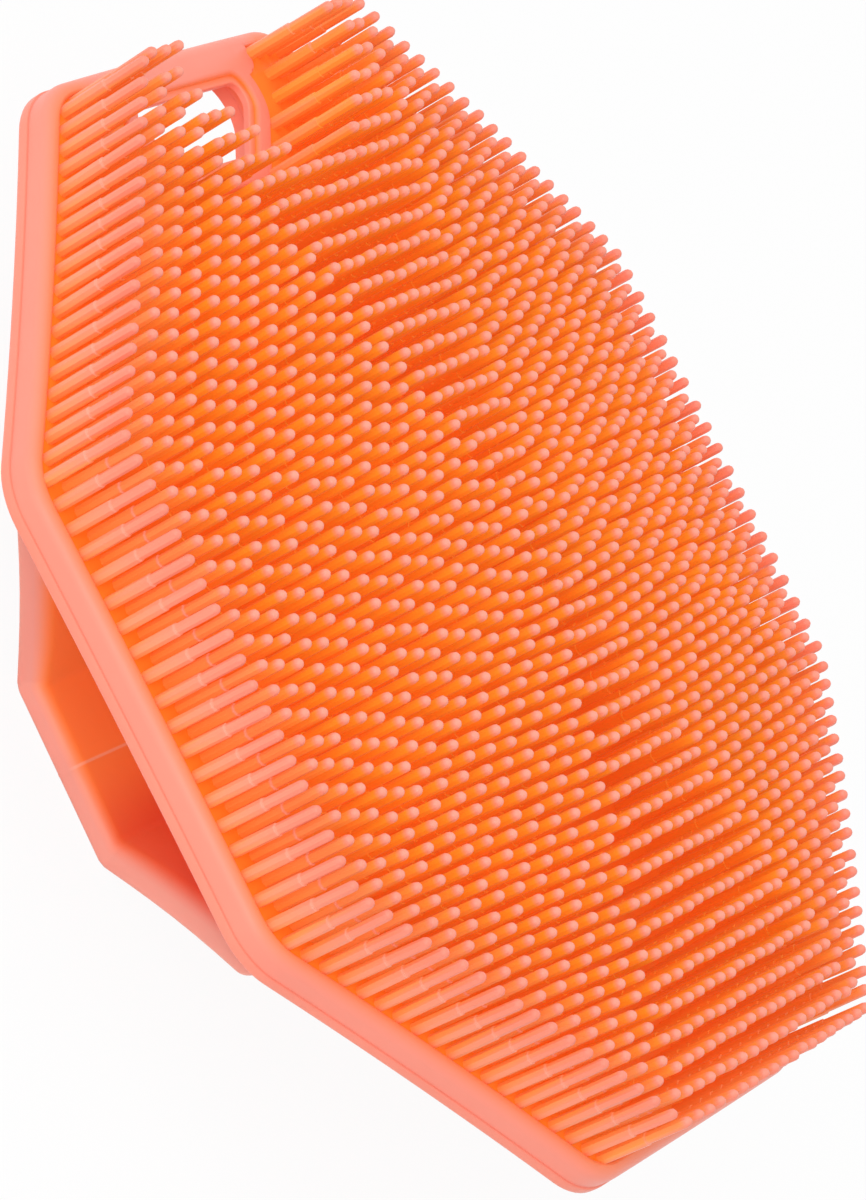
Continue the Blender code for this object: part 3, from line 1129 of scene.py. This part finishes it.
@dataclass(frozen=True)
class HandStrap:
    """The hand strap: one wide band, moulded on behind the pad."""

    bow: Bow
    path: StrapPath
    thickness: float = 3.0 * MM
    flat_width: float = 94.6 * MM
    root_width: float = 121.6 * MM
    waist: float = 0.85 * MM
    taper: float = 0.057
    offset: float = 0.7 * MM
    outer_edge: Rounding = Rounding(0.45 * MM, 3)
    inner_edge: Rounding = Rounding(1.5 * MM, 5)
    parting: float = 0.95 * MM
    parting_width: float = 0.16 * MM
    parting_rise: float = 0.16 * MM
    seam: float = 0.0
    seam_width: float = 0.48 * MM
    seam_crest: float = 0.24 * MM
    seam_rise: float = 0.06 * MM
    run_steps: tuple[int, ...] = (3, 6, 6, 8, 2)
    cross_row: float = 5.0 * MM
    pad_back: float = 4.5 * MM
    sink: float = 0.15 * MM
    # How the painted shade on the inner face rises, and how much of it the seam keeps
    shade_power: float = 1.5
    seam_shade: float = 0.4
    smooth_angle: float = radians(38)

    def half_length(self) -> float:
        """The length of the outer face from its middle to one end."""
        return sum(run[0] for run in self.path.runs())

    def row_places(self) -> list[float]:
        """Works out where the straight strap is cut across, so that it follows its bends.

        Returns:
            The places along X from end to end, without the ends.
        """
        places = [0.0]
        start = 0.0
        for run, steps in zip(self.path.runs(), self.run_steps):
            places += [start + run[0] * (step + 1) / steps for step in range(steps)]
            start += run[0]
        return sorted(places[:-1] + [-place for place in places[1:-1]])

    def slab(self) -> Object:
        """Lays the strap out straight, cut where it bends and where its mould lines run.

        Returns:
            The straight strap.
        """
        bpy.ops.mesh.primitive_cube_add(size=1.0, location=(0.0, 0.0, self.thickness / 2))
        item = bpy.context.object
        item.name = item.data.name = "hand_strap"
        item.scale = (2 * self.half_length(), self.flat_width, self.thickness)
        bpy.ops.object.transform_apply(location=True, rotation=True, scale=True)
        for height, rounding in ((0.0, self.outer_edge), (self.thickness, self.inner_edge)):
            round_edges(item, rounding, lambda edge: at_height(edge, height)
                        and abs(edge.verts[0].co.y - edge.verts[1].co.y) < TINY)
        rows = ceil(self.flat_width / 2 / self.cross_row)
        split = self.parting_width / 2
        with editing(item):
            cut_rows(item, UPWARDS, [self.parting - split, self.parting, self.parting + split])
            cut_rows(item, ALONG, self.row_places())
            cut_rows(item, ALONG, [self.seam + side * width / 2 for side in (-1, 1)
                                   for width in (self.seam_width, self.seam_crest)])
            cut_rows(item, ACROSS, [self.cross_row * step for step in range(1 - rows, rows)])
        return item

    def widened(self, x: np.ndarray) -> np.ndarray:
        """Half the strap's width: tapered, flared to its roots and waisted on its slopes.

        Args:
            x: Places along X from the strap's middle.

        Returns:
            One half width for each place.
        """
        path = self.path
        out = (np.abs(x) - path.flat_half) / (path.root_half - path.flat_half)
        flare = (self.root_width - self.flat_width) / 2 * np.clip(out, 0.0, None)
        return self.flat_width / 2 + self.taper * x + flare - self.waist * np.sin(pi * np.clip(out, 0.0, 1.0))

    def bent(self, walked: np.ndarray, inward: np.ndarray) -> tuple[np.ndarray, np.ndarray]:
        """Where points of the straight strap come to lie on its path.

        Args:
            walked: Their distances from the middle along the outer face, signed.
            inward: Their depths from the outer face.

        Returns:
            Their places in X and in Z.
        """
        within = self.path.inner(self.thickness)
        ends = []
        for distance in np.abs(walked):
            run, share = self.path.stretch_at(float(distance))
            ends.append((*self.path.at(run, share), *within.at(run, share)))
        outer_x, outer_z, inner_x, inner_z = np.array(ends).T
        part = inward / self.thickness
        side = np.where(walked < 0, -1.0, 1.0)
        return side * (outer_x + (inner_x - outer_x) * part), outer_z + (inner_z - outer_z) * part

    def bend(self, item: Object) -> None:
        """Widens the straight strap towards its roots, raises its mould lines and bends it to its path.

        Args:
            item: The straight strap, which is painted as well.
        """
        walked, across, inward = points_of(item).T
        half = self.flat_width / 2
        sideways = np.clip((np.abs(across) - half) / self.inner_edge.reach + 1, 0.0, 1.0)
        upward = np.clip((inward - self.thickness) / self.inner_edge.reach + 1, 0.0, 1.0)
        on_seam = np.abs(walked - self.seam) < self.seam_crest / 2 + SAME
        # Painted shade on the inner face, less of it on the seam, and deeper towards the far leg
        paint(item, "painted_shade_share", np.where(on_seam, self.seam_shade, 1.0) * upward ** self.shade_power)
        paint(item, "far_share", np.clip(walked / self.path.root_half, 0.0, 1.0))
        # The seam's painted highlight
        paint(item, "seam_highlight_share", on_seam * upward)
        seam = on_seam * self.seam_rise / (np.hypot(sideways, upward) + TINY)
        line = (sideways > 1 - SAME) & (np.abs(inward - self.parting) < SAME)
        rise = np.sign(across) * (seam * sideways + line * self.parting_rise)
        x, z = self.bent(walked, inward + seam * upward)
        placed = np.stack([x + self.offset, across / half * self.widened(x) + rise, z], axis=1)
        ends = np.abs(np.abs(walked) - self.half_length()) < SAME
        back = self.bow.crest - self.bow.sag(placed[:, 0], placed[:, 1]) - self.pad_back
        placed[ends, 2] = back[ends] + self.sink
        move_points(item, placed)

    def make(self, groups: Groups) -> None:
        """Builds, dresses and places the strap.

        Args:
            groups: The shared node groups by name.
        """
        item = self.slab()
        self.bend(item)
        smooth(item, self.smooth_angle)
        item.data.materials.append(STRAP.material(groups))
        stand_for(item, "strap_grip", "strap_grip", "strap_leg_1", "strap_leg_2")


# The studio


@dataclass(frozen=True)
class SoftBox:
    """One soft white area lamp, aimed at the brush."""

    name: str
    place: tuple[float, float, float]
    size: float
    power: float

    def hang(self, target: Vector) -> None:
        """Puts the lamp up.

        Args:
            target: The place that it is aimed at.
        """
        lamp = bpy.data.lights.new(self.name, "AREA")
        lamp.shape = "DISK"
        lamp.size = self.size
        lamp.energy = self.power
        item = bpy.data.objects.new(self.name, lamp)
        item.location = self.place
        item.rotation_euler = (target - Vector(self.place)).to_track_quat("-Z", "Y").to_euler()
        bpy.context.scene.collection.objects.link(item)


@dataclass(frozen=True)
class Studio:
    """A pale floor, soft lamps, a white surround and the camera."""

    camera_place: tuple[float, float, float] = (0.02138, -0.73830, 0.39586)
    camera_turn: tuple[float, float, float] = (0.7449186, -0.913546, 0.7366672)
    lens: float = 229.02
    sensor: float = 36.0
    clip: tuple[float, float] = (0.01, 20.0)
    floor_size: float = 6.0
    floor_gap: float = 0.02 * MM
    floor_colour: Colour = (0.86, 0.86, 0.86)
    floor_roughness: float = 0.8
    floor_white: float = 0.94
    world_light: float = 0.68
    bounces: int = 28
    lamp_target: tuple[float, float, float] = (0.0, 0.0, 0.025)
    lamps: tuple[SoftBox, ...] = (
        SoftBox("key", (-0.10, -1.25, 0.70), 1.0, 8.0),
        SoftBox("upper_left", (-0.80, -0.45, 0.80), 0.7, 2.2),
        SoftBox("top", (0.0, 0.30, 1.1), 0.8, 1.0),
    )

    def floor(self) -> None:
        """The pale floor under the brush, white to the camera but for the brush's shadow."""
        bpy.ops.mesh.primitive_plane_add(size=self.floor_size, location=(0.0, 0.0, -self.floor_gap))
        item = bpy.context.object
        item.name = "floor"
        made = bpy.data.materials.new("pale_floor")
        made.use_nodes = True
        graph = Graph(made.node_tree)
        shader = made.node_tree.nodes["Principled BSDF"]
        graph.feed(shader, {"Base Color": self.floor_colour, "Roughness": self.floor_roughness})
        white = graph.node("Emission", {"Color": WHITE, "Strength": 1.0}).outputs[0]
        share = graph.sums("MULTIPLY", graph.shows(), self.floor_white)
        mixed = graph.node("MixShader", {0: share, 1: shader.outputs[0], 2: white}).outputs[0]
        graph.feed(made.node_tree.nodes["Material Output"], {"Surface": mixed})
        item.data.materials.append(made)

    def surround(self) -> None:
        """The world: soft light all round, and white where the camera sees it."""
        world = bpy.data.worlds.new("surround")
        world.use_nodes = True
        bpy.context.scene.world = world
        graph = Graph(world.node_tree)
        strength = graph.sums("MULTIPLY_ADD", graph.shows(), 1.0 - self.world_light, self.world_light)
        graph.feed(world.node_tree.nodes["Background"], {"Color": WHITE, "Strength": strength})

    def camera(self) -> None:
        """The camera at the photograph's viewing angle."""
        data = bpy.data.cameras.new("camera")
        data.lens = self.lens
        data.sensor_width = self.sensor
        data.clip_start, data.clip_end = self.clip
        item = bpy.data.objects.new("camera", data)
        item.location = self.camera_place
        item.rotation_euler = Euler(self.camera_turn, "XYZ")
        bpy.context.scene.collection.objects.link(item)
        bpy.context.scene.camera = item

    def make(self) -> None:
        """Sets the studio up."""
        self.floor()
        self.surround()
        for lamp in self.lamps:
            lamp.hang(Vector(self.lamp_target))
        self.camera()
        bpy.context.scene.cycles.max_bounces = self.bounces
        bpy.context.scene.cycles.diffuse_bounces = self.bounces
        bpy.context.scene.view_settings.view_transform = "Standard"


def main() -> None:
    """Builds the brush and its studio."""
    logging.basicConfig(level=logging.INFO, format="%(name)s: %(message)s")
    groups = {"cured_surface": cured_surface_group()}
    bow = Bow()
    hole = HangHole()
    Pad(bow, hole).make(groups)
    HoleLip(bow, hole).make(groups)
    BristleField(bow, hole).make(groups)
    HandStrap(bow, StrapPath()).make(groups)
    Studio().make()


if __name__ == "__main__":
    main()
